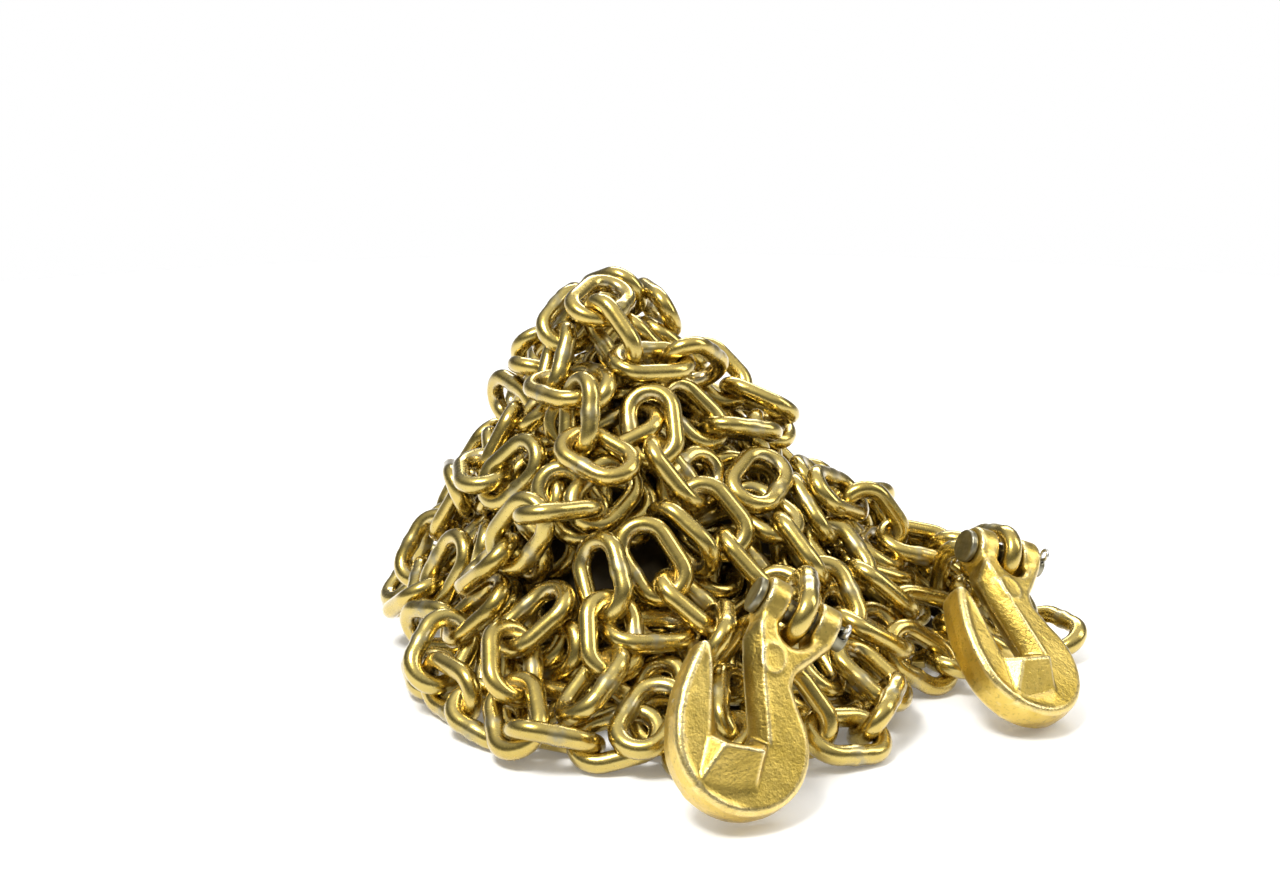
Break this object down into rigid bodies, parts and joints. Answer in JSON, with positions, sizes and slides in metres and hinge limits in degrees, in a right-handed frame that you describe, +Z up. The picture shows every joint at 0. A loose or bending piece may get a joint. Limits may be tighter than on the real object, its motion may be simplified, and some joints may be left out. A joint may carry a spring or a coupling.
{
  "type": "heap of steel chain",
  "caption": "Loose heap of gold zinc-plated short-link steel chain, 8 mm wire, with a winged clevis grab hook pinned to each end, lying in front and at the right.",
  "frame": {"origin": "on the floor the heap lies on, under the middle of the heap", "axes": "+Z up from the floor, +Y away from the side the picture shows, +X to the right of that side"},
  "size_m": [0.3215, 0.3472, 0.1642],
  "materials": {
    "chain_steel": "gold zinc chromate plating on welded 8 mm wire, smooth and glossy with rubbed, darker and greener patches",
    "hook_forging": "gold zinc chromate plating on a drop forging, fine grain left by the scale, worn bright on ridges",
    "pin_steel": "plain steel, dull grey with a yellow tinge",
    "hidden_links": "shaded inside of the heap, stands for links out of sight"
  },
  "bodies": {
    "root": {"chain_strand_01": "chain_steel", "chain_strand_02": "chain_steel", "chain_strand_03": "chain_steel", "chain_strand_04": "chain_steel", "chain_strand_05": "chain_steel", "chain_strand_06": "chain_steel", "chain_strand_07": "chain_steel", "chain_strand_08": "chain_steel", "chain_strand_09": "chain_steel", "chain_strand_10": "chain_steel", "chain_strand_11": "chain_steel", "chain_strand_12": "chain_steel", "chain_strand_13": "chain_steel", "chain_strand_14": "chain_steel", "chain_strand_15": "chain_steel", "chain_strand_16": "chain_steel", "chain_strand_17": "chain_steel", "chain_strand_18": "chain_steel", "chain_strand_19": "chain_steel", "chain_strand_20": "chain_steel", "chain_strand_21": "chain_steel", "chain_strand_22": "chain_steel", "chain_strand_23": "chain_steel", "chain_strand_24": "chain_steel", "chain_strand_25": "chain_steel", "chain_strand_26": "chain_steel", "chain_strand_27": "chain_steel", "chain_strand_28": "chain_steel", "chain_strand_29": "chain_steel", "chain_strand_30": "chain_steel", "clevis_pin_front": "pin_steel", "clevis_pin_right": "pin_steel", "grab_hook_front": "hook_forging", "grab_hook_right": "hook_forging", "heap_core": "hidden_links", "split_pin_front": "pin_steel", "split_pin_right": "pin_steel"}
  },
  "joints": []
}
